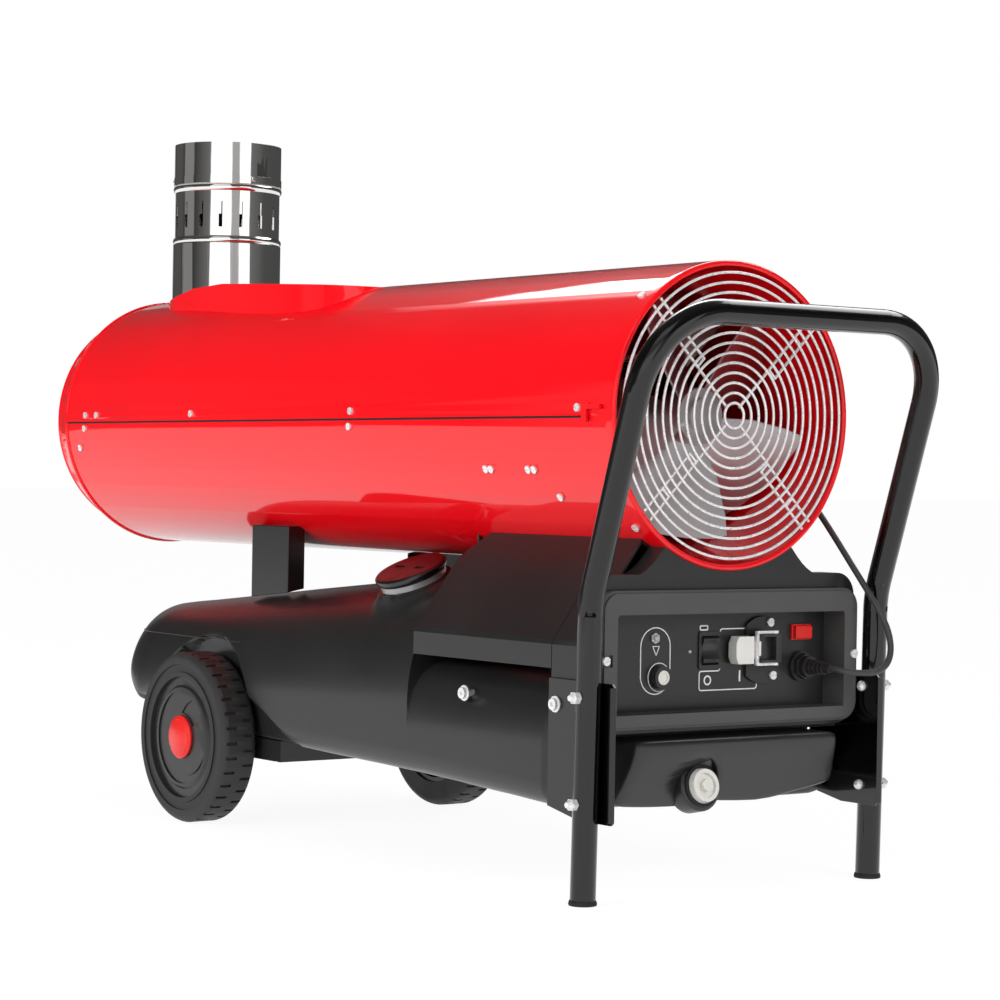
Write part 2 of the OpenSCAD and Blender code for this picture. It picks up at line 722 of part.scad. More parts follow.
// the mouth's rolled lip, the flare behind it and the throat round the fan, as one profile
module inlet_ring() {
  lip = [for (a = [0 : 14 : 196]) [R - lip_r + lip_r * cos(a), lip_r * (sin(a) - 1)]];
  color(red) A() rotate([0, 90, 0]) rotate_extrude($fn = 160) polygon(concat([[R, -12]], lip,
    [[throat_r, -61], [throat_r, -112], [R - 2.1, -112], [R - 2.1, -110], [throat_r + 2, -110],
    [throat_r + 2, -62], [R - 2 * lip_r + 2, -8], [R - 2, -8], [R - 2, -12]]));
}
module fan_guard() {
  last = guard_r0 + guard_step * (guard_rings - 1);
  reach = R - 2 * lip_r - 0.3;
  color([0.85, 0.85, 0.86]) A() translate([guard_x, 0, 0]) {
    rotate([0, 90, 0]) for (i = [0 : guard_rings - 1])
      rotate_extrude($fn = 96) translate([guard_r0 + guard_step * i, 0]) circle(wire_r, $fn = 12);
    for (a = [45 : 90 : 315]) rotate([a, 0, 0]) {
      translate([-2.6, 0, guard_r0 - 1]) cylinder(r = 1.7, h = reach - guard_r0 + 1, $fn = 16);
      translate([-2.6, 13, 74]) cylinder(r = 1.7, h = reach - 1 - 74, $fn = 16);
      translate([-2.6, 0, 74]) rotate([-90, 0, 0]) cylinder(r = 1.7, h = 13, $fn = 16);
      translate([-2.6, 0, 128]) rotate([-90, 0, 0]) cylinder(r = 1.7, h = 13, $fn = 16);
      translate([-2.6, 13, 74]) sphere(1.7, $fn = 16);
    }
  }
}
module fan() {
  color([0.8, 0.8, 0.82]) A() {
    xc(32, -96, -56);
    xc(20, -56, -50);
    xc(7, -212, -96);
    for (i = [0 : fan_blades - 1]) rotate([i * 360 / fan_blades + 20, 0, 0])
      translate([-76, 0, 0]) rotate([0, 0, 35]) rotate([90, 0, 90]) translate([0, 0, -1.2]) linear_extrude(2.4)
        polygon([[-20, 26], [-46, 60], [-65, 100], [-72, 122], [-60, 129], [-30, 136], [0, 139], [30, 137],
          [60, 130], [74, 122], [60, 90], [38, 55], [18, 26]]);
  }
}
module fan_motor() {
  color([0.3, 0.3, 0.32]) A() difference() {
    union() {
      xc(62, -238, -118);
      translate([-118, 0, 0]) rotate([0, 90, 0]) cylinder(r1 = 58, r2 = 30, h = 16);
      for (a = [0 : 20 : 340]) rotate([a, 0, 0]) translate([-228, -1.5, 60]) cube([100, 3, 6.9]);
    }
    xc(7.05, -214, -90);
  }
}
module motor_bracket() {
  color(steel) A() difference() {
    union() {
      xc(72, -176, -172);
      for (a = [45 : 90 : 315]) rotate([a, 0, 0]) {
        translate([-176, -12, 60]) cube([4, 24, R - shell_t - 0.5 - 60]);
        translate([-188, -12, R - shell_t - 3.5]) cube([26, 24, 3]);
      }
    }
    xc(67, -300, -100);
  }
}
module combustion_chamber() {
  color([0.45, 0.45, 0.47]) A() {
    difference() {
      union() {
        xc(112, -1190, -340, $fn = 120);
        translate([-1190, 0, 0]) rotate([0, -90, 0]) cylinder(r1 = 112, r2 = 60, h = 40, $fn = 120);
      }
      xc(109, -1187, -343, $fn = 120);
      xc(40, -350, -330);
      translate([-flue_back, 0, 0]) cylinder(r = fl_r - 1.5, h = 200);
    }
    difference() {
      for (x = [-1186, -420], a = [30, 150, 210, 330]) rotate([a, 0, 0]) translate([x, -10, 111])
        cube([4, 20, 70]);
      shell_ring(R + 40, R - shell_t, -1300, 0);
    }
  }
}
module burner() {
  color([0.35, 0.35, 0.36]) A() {
    difference() {
      xc(40, -400, -250);
      xc(36, -401, -262);
    }
    difference() {
      xc(56, -340, -336);
      xc(40, -341, -330);
    }
    for (a = [0 : 60 : 300]) rotate([a, 0, 0]) translate([0, 0, 48]) xc(3, -336, -333, $fn = 24);
    translate([-250, 0, 12]) xc(9, 0, 6);
  }
}
module fuel_pump() {
  color([0.6, 0.6, 0.62]) A() difference() {
    union() {
      translate([-302, -30, -78]) cube([62, 80, 48]);
      translate([0, 0, -58]) xc(18, -308, -302);
      translate([-250, 40, -84]) cylinder(r = 7, h = 8, $fn = 6);
    }
    xc(40, -420, -200);
    translate([-250, 40, -90]) cylinder(r = 4, h = 30);
  }
}
module fuel_pipe() {
  color([0.72, 0.45, 0.2]) P() translate([-250, 40, 190]) {
    cylinder(r = 3.9, h = axis_z - 78 - 190 + 10);
    translate([0, 0, 48]) cylinder(r = 8, h = 6, $fn = 6);
    translate([0, 0, 72]) cylinder(r = 16, h = 44);
    translate([0, 0, 66]) cylinder(r1 = 8, r2 = 16, h = 6);
  }
}
module ignition_transformer() {
  color([0.2, 0.2, 0.22]) P() {
    translate([-190, -45, 238]) cube([96, 62, 50]);
    for (s = [0, 1]) translate([-190 - 8, -30 + s * 32, 262]) rotate([0, 90, 0]) cylinder(r = 6, h = 8);
    for (x = [-200, -94]) translate([x, -45, 238]) cube([10, 62, 3]);
  }
}

// flue
module flue_pipe(z0, z1, r) {
  difference() {
    translate([0, 0, z0]) cylinder(r = r, h = z1 - z0, $fn = 96);
    translate([0, 0, z0 - 1]) cylinder(r = r - 1.5, h = z1 - z0 + 2, $fn = 96);
  }
}
module bead(z, r) {
  translate([0, 0, z]) rotate_extrude($fn = 96) intersection() {
    translate([r - 4.5, 0]) circle(6, $fn = 40);
    translate([r - 1.5, -5]) square([10, 10]);
  }
}
module flue_lower() {
  color(steel) P() translate([-flue_back, 0, 0]) difference() {
    flue_pipe(560, bead_zs[0] - 5, fl_r + pipe_swell);
    A() translate([flue_back - fan_x, 0, 0]) xc(112, -1190, -340, $fn = 120);
  }
}
module flue_sleeve() {
  color(steel) P() translate([-flue_back, 0, 0]) difference() {
    union() {
      flue_pipe(bead_zs[0], bead_zs[1], fl_r - 1.6);
      for (z = bead_zs) bead(z, fl_r - 0.2);
    }
    for (i = [0 : flue_windows - 1]) rotate(i * 360 / flue_windows + 30) {
      translate([60, -3.5, bead_zs[0] + 17]) cube([30, 7, 18]);
      translate([60, 0, bead_zs[0] + 34.5]) cube([30, 2.4, 18]);
    }
    translate([0, 0, 700]) cylinder(r = fl_r - 3.1, h = 300);
  }
}
module flue_inner() {
  color([0.6, 0.6, 0.62]) P() translate([-flue_back, 0, 0]) difference() {
    flue_pipe(bead_zs[0] - 28, bead_zs[1] + 17, fl_r - 3.1);
    for (i = [0 : flue_windows - 1]) rotate(i * 360 / flue_windows + 30) {
      translate([60, -3.5, bead_zs[0] + 17]) cube([30, 5, 18]);
      translate([60, -1, bead_zs[0] + 34.5]) cube([30, 2.4, 18]);
    }
  }
}
module flue_upper() {
  color(steel) P() translate([-flue_back, 0, 0]) {
    flue_pipe(flue_top - spigot_len, flue_top, fl_r);
    difference() {
      translate([0, 0, bead_zs[1] + 5])
        cylinder(r = fl_r + pipe_swell, h = flue_top - spigot_len - bead_zs[1] - 5, $fn = 96);
      translate([0, 0, bead_zs[1]]) cylinder(r = fl_r - 1.5, h = flue_top - bead_zs[1], $fn = 96);
    }
    for (a = [-2, 118, 238]) rotate(a) translate([fl_r + 0.1, 0, bead_zs[1] + 11]) rotate([0, 90, 0])
      cylinder(r1 = 3, r2 = 2, h = 1.6);
  }
}
saddle_edge = [[-1183, 0], [-1179, 22], [-1167, 44], [-1146, 62], [-1118, 75], [-1092, 80], [-1050, 82],
  [-994, 87], [-923, 95], [-860, 101], [-785, 105], [-720, 104], [-690, 100], [-664, 90], [-648, 74],
  [-640, 56], [-635, 30], [-634, 0]];
module saddle_plan(i) {
  n = len(saddle_edge) - 1;
  c = -908;
  k = 1 - i / 105;
  translate([c, 0]) polygon([for (s = [-1, 1], j = s < 0 ? [0 : n] : [n - 1 : -1 : 1])
    [(saddle_edge[j][0] - c) * (1 - i / 274), s * saddle_edge[j][1] * k]]);
}
module flue_saddle() {
  color(red) P() difference() {
    translate([0, 0, axis_z + R]) intersection() {
      translate([0, 0, -57]) linear_extrude(80) saddle_plan(0);
      xz(-120, 120) polygon([[-1200, -57], [-1200, -13], [-1120, -3], [-1040, 10], [-950, 12], [-634, -4],
        [-600, -5], [-600, -57]]);
    }
    translate([0, 0, axis_z + R]) intersection() {
      translate([0, 0, -67]) linear_extrude(90) saddle_plan(2);
      xz(-120, 120) polygon([[-1200, -77], [-1200, -15], [-1120, -5], [-1040, 8], [-950, 10], [-634, -6],
        [-600, -7], [-600, -77]]);
    }
    translate([0, 0, axis_z]) xc(R, -1300, -500, $fn = 160);
    translate([-flue_back, 0, 600]) cylinder(r = fl_r + pipe_swell, h = 200, $fn = 96);
  }
}

// power cord: a free stretch held by clips, then a coil on the floor and the plug
function unit(v) = v / norm(v);
function path_dir(p, i) = unit(p[min(i + 1, len(p) - 1)] - p[max(i - 1, 0)]);
function flat_to(n, t) = unit(n - (n * t) * t);
function path_normals(p) = [for (i = 0, n = flat_to([0, 0, 1], path_dir(p, 0)); i < len(p);
  i = i + 1, n = i < len(p) ? flat_to(n, path_dir(p, i)) : n) n];
module tube_along(p, r, sides) {
  normals = path_normals(p);
  rings = [for (i = [0 : len(p) - 1], k = [0 : sides - 1]) let (t = path_dir(p, i), n = normals[i])
    p[i] + r * cos(360 * k / sides) * n + r * sin(360 * k / sides) * cross(t, n)];
  last = (len(p) - 1) * sides;
  polyhedron(rings, concat(
    [[for (k = [0 : sides - 1]) k]],
    [[for (k = [sides - 1 : -1 : 0]) last + k]],
    [for (i = [0 : len(p) - 2], k = [0 : sides - 1], h = [0, 1]) let (a = i * sides + k,
      b = i * sides + (k + 1) % sides) h == 0 ? [a, a + sides, b] : [b, a + sides, b + sides]]), convexity = 10);
}
function between(p, i, t) = let (a = p[max(i - 1, 0)], b = p[i], c = p[i + 1], d = p[min(i + 2, len(p) - 1)])
  0.5 * (2 * b + (c - a) * t + (2 * a - 5 * b + 4 * c - d) * t * t + (3 * b - a - 3 * c + d) * t * t * t);
cord_path = concat([for (i = [0 : len(cord_route) - 2], t = [0, 0.5]) between(cord_route, i, t)],
  [cord_route[len(cord_route) - 1]]);
cord_end = cord_route[len(cord_route) - 1];
coil_dir = unit(cord_end - cord_route[len(cord_route) - 2]);
coil_from = cord_end + 8 * coil_dir;
coil_at = coil_from + coil_r * [coil_dir[1], -coil_dir[0], 0];
coil_a = atan2(coil_from[1] - coil_at[1], coil_from[0] - coil_at[0]);
function coil_height(t) = coil_step * min(1, max(0, 2 * (t - coil_turns) + 0.5));
function coil_point(t) = let (r = coil_r - coil_step * min(t, 2 * coil_turns - t), a = coil_a - 360 * t)
  [coil_at[0] + r * cos(a), coil_at[1] + r * sin(a), cord_end[2] + coil_height(t)];
coil_loops = [for (k = [0 : 48 * coil_turns]) coil_point(k / 24)];
coil_out = [[14, 9], [28, 11.8], [42, 14], [52, 14.4], [60, 14.4]];
plug_at = cord_end + 68 * coil_dir + [0, 0, 14.4];
coil_path = concat([cord_end], coil_loops, [for (q = coil_out) coil_from + q[0] * coil_dir + [0, 0, q[1]]]);
coil_gap = min([for (i = [0 : len(coil_path) - 1], j = [i + 8 : 1 : len(coil_path) - 1])
  norm(coil_path[i] - coil_path[j])]) - 2 * cord_r;
echo(coil_gap = coil_gap);
module power_cord() {
  color(grey) P() tube_along(cord_path, cord_r, 10);
}
module cord_coil() {
  color(grey) P() tube_along(coil_path, cord_r, 6);
}
module mains_plug() {
  color(dark) P() translate(plug_at) rotate([0, 0, atan2(coil_dir[1], coil_dir[0])]) {
    rotate([0, 90, 0]) cylinder(r1 = 5, r2 = 8, h = 26);
    for (x = [4 : 5 : 19]) xc(7.5 + x / 12, x, x + 2);
    translate([26, 0, 0]) rotate([0, 90, 0]) cylinder(r1 = 11, r2 = 17.9, h = 12);
    intersection() {
      xc(17.9, 38, 62);
      translate([30, -20, -18]) cube([40, 40, 36]);
    }
    for (s = [-1, 1]) translate([0, s * 9.5, 0]) {
      xc(2.4, 62, 79);
      translate([79, 0, 0]) sphere(2.4, $fn = 24);
    }
  }
}
module clip_loop(w) {
  difference() {
    xc(5.4, -w, w);
    xc(cord_r + 0.05, -w - 1, w + 1);
  }
}
module cord_clips() {
  color(black) P() {
    translate([barrel_clip_x, 0, axis_z]) rotate([atan2(clip_z - axis_z, clip_y), 0, 0]) {
      translate([0, R + 5.5, 0]) clip_loop(5);
      difference() {
        translate([-5, R - 2, -19]) cube([10, 3.7, 19]);
        xc(R, -9, 9, $fn = 160);
        translate([0, R + 5.5, 0]) xc(5, -9, 9);
      }
      translate([0, 0, -14]) yc(3, R, R + 3.4);
    }
    for (x = tank_clip_xs) translate([x, tank_y + 5.5, tank_clip_z]) {
      clip_loop(5);
      difference() {
        translate([-5, -5.5, -19]) cube([10, 1.7, 19]);
        xc(5, -9, 9);
      }
      translate([0, 0, -14]) yc(3, -5.5, -2.5);
    }
  }
}

fuel_tank();
filler_neck();
cap_gasket();
filler_cap();
drain_seal();
drain_plug();
tank_screws();
axle();
axle_carrier();
tyre_left();
tyre_right();
rim_left();
rim_right();
hubcap_left();
hubcap_right();
handle_frame();
foot_caps();
leg_plate_left();
leg_plate_right();
frame_bolts();
post_left();
post_right();
console_housing();
side_cover_left();
side_cover_right();
panel_bezel();
control_panel();
switch_frame();
rocker_switch();
reset_button();
status_leds();
thermostat_socket();
socket_plug();
lock_lever();
red_lamp();
cable_gland();
panel_screws();
upper_shell();
lower_shell();
shell_screws();
outlet_ring();
inlet_ring();
fan_guard();
fan();
fan_motor();
motor_bracket();
combustion_chamber();
burner();
fuel_pump();
fuel_pipe();
ignition_transformer();
flue_lower();
flue_sleeve();
flue_inner();
flue_upper();
flue_saddle();
power_cord();
cord_coil();
mains_plug();
cord_clips();
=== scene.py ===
import json
import math
import bmesh
import bpy
import numpy as np
from mathutils import Matrix, Vector


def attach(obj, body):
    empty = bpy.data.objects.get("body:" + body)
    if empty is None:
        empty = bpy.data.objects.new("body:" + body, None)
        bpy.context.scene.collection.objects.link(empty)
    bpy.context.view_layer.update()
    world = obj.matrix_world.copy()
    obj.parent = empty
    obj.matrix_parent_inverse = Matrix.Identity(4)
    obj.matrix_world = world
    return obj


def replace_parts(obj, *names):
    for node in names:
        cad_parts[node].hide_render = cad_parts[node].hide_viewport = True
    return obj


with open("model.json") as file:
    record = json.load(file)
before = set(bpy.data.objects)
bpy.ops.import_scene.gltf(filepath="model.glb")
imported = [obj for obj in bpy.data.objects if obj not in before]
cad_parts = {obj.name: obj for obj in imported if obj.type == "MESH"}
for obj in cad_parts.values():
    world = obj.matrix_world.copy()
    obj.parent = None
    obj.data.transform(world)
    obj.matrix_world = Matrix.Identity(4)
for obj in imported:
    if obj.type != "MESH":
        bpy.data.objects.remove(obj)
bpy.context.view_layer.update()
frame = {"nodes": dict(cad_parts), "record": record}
scene = bpy.context.scene
record = frame["record"]
slot_of = {row["node"]: row["material_slot"] for row in record["subparts"]}
body_of = {node: body for body, nodes in record["behaviour"]["bodies"].items() for node in nodes}

# the fan end of the barrel is at this x, and all sizes below are millimetres from it
FAN_END = 582.5
BARREL_R = 172
BARREL_Z = 525
PANEL_FACE_X = -26.8
CORD_R = 3.6
LEAD_EXIT = [24, 129, 243]


def metres(points):
    """Millimetres from the fan end, the middle and the floor, to metres in the part's own frame."""
    return (np.asarray(points, float) + [FAN_END, 0, 0]) / 1000


def linear(code):
    """The linear colour of a six-digit sRGB code."""
    c = np.array([int(code[i:i + 2], 16) for i in (0, 2, 4)]) / 255
    return [float(v) for v in np.where(c <= 0.04045, c / 12.92, ((c + 0.055) / 1.055) ** 2.4)] + [1.0]


# camera
def aim_camera(place, yaw, pitch, roll, lens):
    """A level look turned yaw from -X towards +Y, pitch down and roll about the line of sight."""
    a, e, k = np.radians([yaw, pitch, roll])
    ahead = np.array([-math.cos(a) * math.cos(e), math.sin(a) * math.cos(e), -math.sin(e)])
    right = np.cross(ahead, [0, 0, 1])
    right /= np.linalg.norm(right)
    up = np.cross(right, ahead)
    right, up = right * math.cos(k) + up * math.sin(k), up * math.cos(k) - right * math.sin(k)
    data = bpy.data.cameras.new("photo_camera")
    data.sensor_width = 36
    data.sensor_fit = "HORIZONTAL"
    data.lens = lens
    data.clip_end = 100
    camera = bpy.data.objects.new("photo_camera", data)
    scene.collection.objects.link(camera)
    turn = np.eye(4)
    turn[:3, 0], turn[:3, 1], turn[:3, 2], turn[:3, 3] = right, up, -ahead, place
    camera.matrix_world = Matrix(turn.tolist())
    scene.camera = camera


aim_camera((2.9204, -2.0531, 0.4526), 36.55, 0.465, 0.958, 100.944)


# materials
class Finish:
    """A Principled material whose colour, roughness and grain come from noise on Object coordinates."""

    def __init__(self, name, colour, rough, metallic=0.0, coat=0.0, coat_rough=0.03, specular=0.5):
        self.material = bpy.data.materials.new(name)
        self.material.use_nodes = True
        self.tree = self.material.node_tree
        self.shader = self.tree.nodes["Principled BSDF"]
        self.colour = linear(colour)
        self.rough = rough
        self.shader.inputs["Base Color"].default_value = self.colour
        self.shader.inputs["Roughness"].default_value = rough
        self.shader.inputs["Metallic"].default_value = metallic
        self.shader.inputs["Coat Weight"].default_value = coat
        self.shader.inputs["Coat Roughness"].default_value = coat_rough
        self.shader.inputs["Specular IOR Level"].default_value = specular
        self.place = self.tree.nodes.new("ShaderNodeTexCoord").outputs["Object"]

    def noise(self, scale, detail=3, stretch=(1, 1, 1)):
        """Noise on Object coordinates, stretched along the axes."""
        mapping = self.tree.nodes.new("ShaderNodeMapping")
        mapping.inputs["Scale"].default_value = stretch
        self.tree.links.new(self.place, mapping.inputs["Vector"])
        noise = self.tree.nodes.new("ShaderNodeTexNoise")
        noise.inputs["Scale"].default_value = scale
        noise.inputs["Detail"].default_value = detail
        self.tree.links.new(mapping.outputs[0], noise.inputs["Vector"])
        return noise.outputs["Fac"]

    def ranged(self, value, low, high, start=0.3, end=0.7):
        """The value from start to end, spread over low to high."""
        node = self.tree.nodes.new("ShaderNodeMapRange")
        for key, v in (("From Min", start), ("From Max", end), ("To Min", low), ("To Max", high)):
            node.inputs[key].default_value = v
        self.tree.links.new(value, node.inputs["Value"])
        return node.outputs[0]

    def clouds(self, scale, colour_share, rough_share, stretch=(1, 1, 1)):
        """Slow changes of colour and roughness over the surface."""
        fac = self.noise(scale, 4, stretch)
        mix = self.tree.nodes.new("ShaderNodeMix")
        mix.data_type = "RGBA"
        mix.inputs["A"].default_value = [v * (1 - colour_share) for v in self.colour[:3]] + [1]
        mix.inputs["B"].default_value = [min(1, v * (1 + colour_share)) for v in self.colour[:3]] + [1]
        self.tree.links.new(self.ranged(fac, 0, 1), mix.inputs["Factor"])
        self.tree.links.new(mix.outputs["Result"], self.shader.inputs["Base Color"])
        rough = self.ranged(fac, self.rough * (1 - rough_share), min(1, self.rough * (1 + rough_share)))
        self.tree.links.new(rough, self.shader.inputs["Roughness"])
        return self

    def grain(self, scale, height, stretch=(1, 1, 1), coat_too=False):
        """Fine relief, height in metres."""
        bump = self.tree.nodes.new("ShaderNodeBump")
        bump.inputs["Strength"].default_value = 1.0
        bump.inputs["Distance"].default_value = height
        self.tree.links.new(self.noise(scale, 3, stretch), bump.inputs["Height"])
        self.tree.links.new(bump.outputs[0], self.shader.inputs["Normal"])
        if coat_too:
            self.tree.links.new(bump.outputs[0], self.shader.inputs["Coat Normal"])
        return self


moulded = Finish("moulded_black", "232323", 0.36, coat=0.18, coat_rough=0.16).clouds(6, 0.12, 0.12)
moulded.grain(1400, 0.00006)
bezel_grey = Finish("bezel_grey", "4c4c4c", 0.42).clouds(9, 0.08, 0.1).grain(1600, 0.00005)
lead_sheath = Finish("lead_sheath", "3c3c3c", 0.45).clouds(30, 0.1, 0.1).grain(900, 0.00004)
white_gloss = Finish("white_moulding", "e6e4de", 0.25).clouds(40, 0.03, 0.1).grain(900, 0.00002)
red_gloss = Finish("red_moulding", "e0211c", 0.28).clouds(40, 0.05, 0.1).grain(900, 0.00002)
lens = Finish("clear_lens", "d8e2dc", 0.08, coat=0.5).clouds(60, 0.05, 0.1)
lens.shader.inputs["Transmission Weight"].default_value = 0.3
rubber = Finish("gasket_rubber", "1e1e1e", 0.7).clouds(30, 0.15, 0.1).grain(1200, 0.00008)
tread_rubber = Finish("tread_rubber", "303030", 0.62).clouds(18, 0.15, 0.12).grain(900, 0.0001)
enamel = Finish("red_enamel", "f20716", 0.4, coat=1.0, coat_rough=0.03, specular=0.05).clouds(5, 0.04, 0.1)
enamel.grain(220, 0.000012, coat_too=True)
powder = Finish("black_powder_coat", "060505", 0.22, coat=0.8, coat_rough=0.05, specular=0.2)
powder.clouds(12, 0.15, 0.1)
powder.grain(700, 0.00003)
stainless = Finish("polished_stainless", "f0eeec", 0.06, metallic=1.0).clouds(8, 0.06, 0.3, (1, 1, 0.3))
stainless.grain(14, 0.0005, (1, 1, 0.5))
zinc = Finish("bright_zinc", "f0f0f0", 0.26, metallic=0.45).clouds(60, 0.06, 0.2).grain(900, 0.00003)
neck_gloss = Finish("neck_moulding", "8c8c8c", 0.2, coat=1.0, coat_rough=0.05).clouds(30, 0.08, 0.1)
cap_black = Finish("cap_moulding", "121212", 0.34, coat=0.6, coat_rough=0.22).clouds(20, 0.1, 0.1)
cap_black.grain(1200, 0.00005)
wire = Finish("guard_wire", "f4f4f4", 0.28, metallic=0.35).clouds(60, 0.04, 0.2).grain(900, 0.00002)
pressed_alloy = Finish("pressed_alloy", "c4c5c7", 0.34, metallic=1.0).clouds(14, 0.08, 0.2)
pressed_alloy.grain(500, 0.00004)
furnace_steel = Finish("furnace_steel", "6a6866", 0.45, metallic=1.0).clouds(9, 0.25, 0.2).grain(300, 0.00006)
copper = Finish("drawn_copper", "b8713a", 0.3, metallic=1.0).clouds(30, 0.12, 0.2).grain(500, 0.00003)
print_white = Finish("panel_print", "e9e9e9", 0.5).clouds(90, 0.05, 0.1)

finish_of_slot = {
    "black_plastic": moulded, "grey_plastic": bezel_grey, "cord_pvc": lead_sheath,
    "white_plastic": white_gloss, "red_plastic": red_gloss, "clear_led": lens, "rubber": rubber,
    "tyre_rubber": tread_rubber, "red_paint": enamel, "black_paint": powder, "stainless": stainless,
    "zinc_steel": zinc, "fan_alloy": pressed_alloy, "dark_steel": furnace_steel, "copper": copper,
}
finish_of = {node: finish_of_slot[slot] for node, slot in slot_of.items()}
finish_of["fan_guard"] = wire
finish_of["filler_neck"] = neck_gloss
finish_of["filler_cap"] = finish_of["post_left"] = finish_of["post_right"] = cap_black
for node, obj in frame["nodes"].items():
    obj.data.materials.clear()
    obj.data.materials.append(finish_of[node].material)


# meshes
def put(name, mesh, body, finish, smooth=35):
    """Links a mesh as a piece that rides on its body, smooth except at edges sharper than smooth."""
    obj = bpy.data.objects.new(name, mesh)
    scene.collection.objects.link(obj)
    mesh.materials.clear()
    mesh.materials.append(finish.material)
    mesh.polygons.foreach_set("use_smooth", np.ones(len(mesh.polygons), bool))
    mesh.set_sharp_from_angle(angle=math.radians(smooth))
    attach(obj, body)
    return obj


def grid(name, points, closed_rows=False, caps=False):
    """A mesh over an array of points, rows by columns: each cell of the grid is one face, and the last
    column is joined to the first."""
    rows, columns = points.shape[:2]
    index = np.arange(rows * columns).reshape(rows, columns)
    if closed_rows:
        index = np.vstack([index, index[:1]])
    index = np.hstack([index, index[:, :1]])
    corners = [index[:-1, :-1], index[:-1, 1:], index[1:, 1:], index[1:, :-1]]
    faces = np.stack(corners, -1).reshape(-1, 4).tolist()
    if caps:
        faces += [index[0, :columns][::-1].tolist(), index[-1 - closed_rows, :columns].tolist()]
    mesh = bpy.data.meshes.new(name)
    mesh.from_pydata(points.reshape(-1, 3), [], faces)
    return mesh


def tube(name, path, radius, sides):
    """A round tube: at each point of the path a ring of the radius, square to the path's direction,
    whose start is carried along from ring to ring so that the tube doesn't twist."""
    ahead = np.gradient(path, axis=0)
    ahead /= np.linalg.norm(ahead, axis=1)[:, None]
    side = np.cross(ahead[0], [0.3, 0.2, 0.9])
    sides_of = []
    for t in ahead:
        side = side - (side @ t) * t
        side = side / np.linalg.norm(side)
        sides_of.append(side)
    n = np.array(sides_of)[:, None]
    b = np.cross(ahead[:, None], n)
    a = np.linspace(0, 2 * math.pi, sides, endpoint=False)[None, :, None]
    r = np.asarray(radius, float).reshape(-1, 1, 1)
    return grid(name, path[:, None] + r * (np.cos(a) * n + np.sin(a) * b), caps=True)


# power lead
lead_points = np.array([
    LEAD_EXIT, [33, 129, 243], [46, 134, 241], [57, 146, 240], [62, 163, 241], [62, 180, 249],
    [58, 190, 265], [51, 192, 286], [40, 188, 309], [23, 183, 334], [3, 179, 360], [-18, 176, 386],
    [-40, 173, 412], [-64, 171, 436], [-92, 168, 456], [-114, 167, 465], [-133, 167, 465], [-149, 167, 465],
    [-168, 167, 465], [-194, 170, 456], [-216, 176, 432], [-234, 184, 400], [-248, 192, 362],
    [-264, 198, 322], [-286, 200, 285], [-318, 200, 255], [-360, 199.5, 236], [-390, 199.5, 236],
    [-455, 199.5, 236], [-530, 199.5, 236], [-562, 199.5, 236], [-600, 207, 222], [-645, 225, 194],
    [-690, 248, 156], [-738, 274, 112], [-786, 300, 70], [-832, 324, 34], [-880, 344, 12], [-928, 370, 3.7],
    [-960, 394, 3.7]])


def through(points, steps):
    """The smooth curve through the points: on each span a cubic whose slope at a point is half the
    step between its two neighbours."""
    p = np.vstack([points[:1], points, points[-1:]])
    a, b, c, d = (p[i:len(p) - 3 + i, None] for i in range(4))
    t = (np.arange(steps) / steps)[None, :, None]
    curve = 0.5 * (2 * b + (c - a) * t + (2 * a - 5 * b + 4 * c - d) * t ** 2
                   + (3 * b - a - 3 * c + d) * t ** 3)
    return np.vstack([curve.reshape(-1, 3), points[-1:]])


def wound_lead(end, before):
    """The coil on the floor: a spiral inwards and, one lead higher, outwards again, then the way out
    to the plug over the turns."""
    radius, step, turns = 50, 7.8, 2.5
    ahead = (end - before) / np.linalg.norm(end - before)
    start = end + 8 * ahead
    middle = start + radius * np.array([ahead[1], -ahead[0], 0])
    first = math.atan2(start[1] - middle[1], start[0] - middle[0])
    t = np.arange(0, 48 * turns + 1) / 24
    r = radius - step * np.minimum(t, 2 * turns - t)
    a = first - 2 * math.pi * t
    height = step * np.clip(2 * (t - turns) + 0.5, 0, 1)
    loops = np.stack([middle[0] + r * np.cos(a), middle[1] + r * np.sin(a), end[2] + height], -1)
    out = np.array([[14, 9], [28, 11.8], [42, 14], [52, 14.4], [60, 14.4]])
    way_out = start + out[:, :1] * ahead + out[:, 1:] * [0, 0, 1]
    return np.vstack([loops, way_out])


lead_line = metres(np.vstack([through(lead_points, 4), wound_lead(lead_points[-1], lead_points[-2])]))
lead = put("power_lead", tube("power_lead", lead_line, CORD_R / 1000, 14), "frame", lead_sheath)
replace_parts(lead, "power_cord", "cord_coil")


# pieces that keep their solid's shape, with rounded edges
def rounded(node, width, smooth=32):
    """A copy of a solid's mesh, merged, its flat triangles joined, with small round edges."""
    mesh = frame["nodes"][node].data.copy()
    work = bmesh.new()
    work.from_mesh(mesh)
    bmesh.ops.remove_doubles(work, verts=work.verts, dist=0.00002)
    bmesh.ops.dissolve_limit(work, angle_limit=math.radians(0.6), verts=work.verts, edges=work.edges)
    work.to_mesh(mesh)
    work.free()
    obj = put(node + "_made", mesh, body_of[node], finish_of[node], smooth)
    if width:
        bevel = obj.modifiers.new("round_edges", "BEVEL")
        bevel.width = width
        bevel.segments = 2
        bevel.limit_method = "ANGLE"
        bevel.angle_limit = math.radians(smooth)
        bevel.harden_normals = True
    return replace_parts(obj, node)


